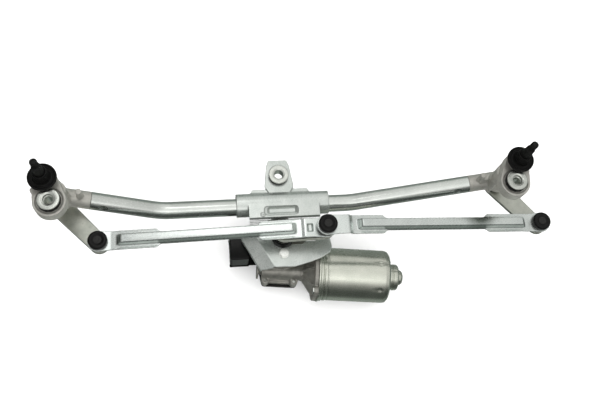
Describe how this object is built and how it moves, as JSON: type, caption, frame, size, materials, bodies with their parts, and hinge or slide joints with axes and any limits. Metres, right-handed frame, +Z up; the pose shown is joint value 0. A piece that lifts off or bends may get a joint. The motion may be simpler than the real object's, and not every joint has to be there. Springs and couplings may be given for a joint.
{
  "type": "windshield wiper linkage",
  "caption": "Tubular-frame windshield wiper linkage: worm-geared motor turns a crank that swings wiper spindles through pressed rods and levers.",
  "frame": {"origin": "centre of the middle mounting sleeve's bore, at the top face of its flange", "axes": "+Z up along the two parallel wiper spindles, +X along the assembly towards the right spindle, +Y from the motor towards the middle mounting lug"},
  "size_m": [0.5896, 0.1708, 0.2025],
  "materials": {
    "zinc_tube": "bright zinc plate, drawn lengthwise",
    "zinc_sheet": "satin zinc plate on pressed sheet",
    "rod_sheet": "bright zinc plate on pressed sheet",
    "lever_steel": "dull zinc plate",
    "cast_alloy": "as-cast, matte",
    "gear_alloy": "as-cast, darker",
    "black_rubber": "matte black rubber",
    "black_plastic": "moulded black plastic",
    "spindle_steel": "black phosphate",
    "bright_steel": "turned, zinc plated",
    "motor_steel": "deep-drawn, yellowish zinc plate",
    "bronze": "sintered bronze",
    "copper": "copper, enamelled wire",
    "ferrite": "ferrite",
    "lamination": "stacked steel laminations",
    "wheel_plastic": "natural moulded plastic",
    "brush_carbon": "carbon",
    "tan_board": "moulded brush board"
  },
  "bodies": {
    "frame": {"frame_tube": "zinc_tube", "motor_bracket": "zinc_sheet", "left_housing": "cast_alloy", "right_housing": "cast_alloy", "left_lower_bush": "bronze", "right_lower_bush": "bronze", "left_upper_bush": "bronze", "right_upper_bush": "bronze", "left_boot": "black_rubber", "right_boot": "black_rubber", "left_mount_grommet": "black_rubber", "right_mount_grommet": "black_rubber", "left_mount_sleeve": "bright_steel", "right_mount_sleeve": "bright_steel", "centre_grommet": "black_rubber", "centre_mount_sleeve": "bright_steel", "gear_housing": "gear_alloy", "gear_cover": "black_plastic", "connector_pins": "bright_steel", "cover_screws": "bright_steel", "motor_mount_bolts": "bright_steel", "motor_can": "motor_steel", "motor_flange_screws": "bright_steel", "magnets": "ferrite", "brush_holder": "tan_board", "brushes": "brush_carbon", "front_bearing": "bronze", "rear_bearing": "bronze", "output_bush": "bronze", "output_shaft_seal": "black_rubber"},
    "crank": {"crank_arm": "lever_steel", "crank_ball_stud": "bright_steel", "crank_nut": "bright_steel", "output_shaft": "bright_steel", "worm_wheel": "wheel_plastic"},
    "armature": {"armature_shaft": "bright_steel", "armature_core": "lamination", "armature_windings": "copper", "commutator": "copper"},
    "left_wiper_spindle": {"left_spindle": "spindle_steel", "left_spindle_washer": "bright_steel", "left_circlip": "bright_steel", "left_lever": "lever_steel", "left_lever_ball": "bright_steel"},
    "left_link": {"left_rod": "rod_sheet", "left_rod_outer_socket": "black_plastic", "left_rod_outer_cap": "black_plastic", "left_rod_inner_socket": "black_plastic"},
    "right_wiper_spindle": {"right_spindle": "spindle_steel", "right_spindle_washer": "bright_steel", "right_circlip": "bright_steel", "right_lever": "lever_steel", "right_lever_ball": "bright_steel"},
    "right_link": {"right_rod": "rod_sheet", "right_rod_outer_socket": "black_plastic", "right_rod_outer_cap": "black_plastic", "right_rod_inner_socket": "black_plastic", "right_rod_inner_cap": "black_plastic"}
  },
  "joints": [
    {"name": "crank_turn", "type": "hinge", "parent": "frame", "child": "crank", "pos_m": [0, -0.0746, 0.01], "axis": [0, 0, -1], "range_deg": [0, 180]},
    {"name": "armature_spin", "type": "hinge", "parent": "frame", "child": "armature", "pos_m": [-0.00346, -0.10541, -0.05], "axis": [0.9938, -0.1115, 0], "range_deg": [0, 9000]},
    {"name": "left_spindle_turn", "type": "hinge", "parent": "frame", "child": "left_wiper_spindle", "pos_m": [-0.254, -0.023, 0], "axis": [0, 0, -1], "range_deg": [0, 86.49]},
    {"name": "left_rod_swing", "type": "hinge", "parent": "left_wiper_spindle", "child": "left_link", "pos_m": [-0.20739, -0.07333, 0.0026], "axis": [0, 0, -1], "range_deg": [-86.47, 0]},
    {"name": "right_spindle_turn", "type": "hinge", "parent": "frame", "child": "right_wiper_spindle", "pos_m": [0.265, -0.0235, 0], "axis": [0, 0, -1], "range_deg": [0, 86.79]},
    {"name": "right_rod_swing", "type": "hinge", "parent": "right_wiper_spindle", "child": "right_link", "pos_m": [0.30854, -0.07651, 0.0026], "axis": [0, 0, -1], "range_deg": [-88.08, 0]}
  ],
  "couplings": [
    {"joint": "armature_spin", "follows": "crank_turn", "ratio": 50},
    {"joint": "left_spindle_turn", "follows": "crank_turn", "ratio": 0.48051},
    {"joint": "left_rod_swing", "follows": "crank_turn", "ratio": -0.48042},
    {"joint": "right_spindle_turn", "follows": "crank_turn", "ratio": 0.48215},
    {"joint": "right_rod_swing", "follows": "crank_turn", "ratio": -0.48934}
  ]
}
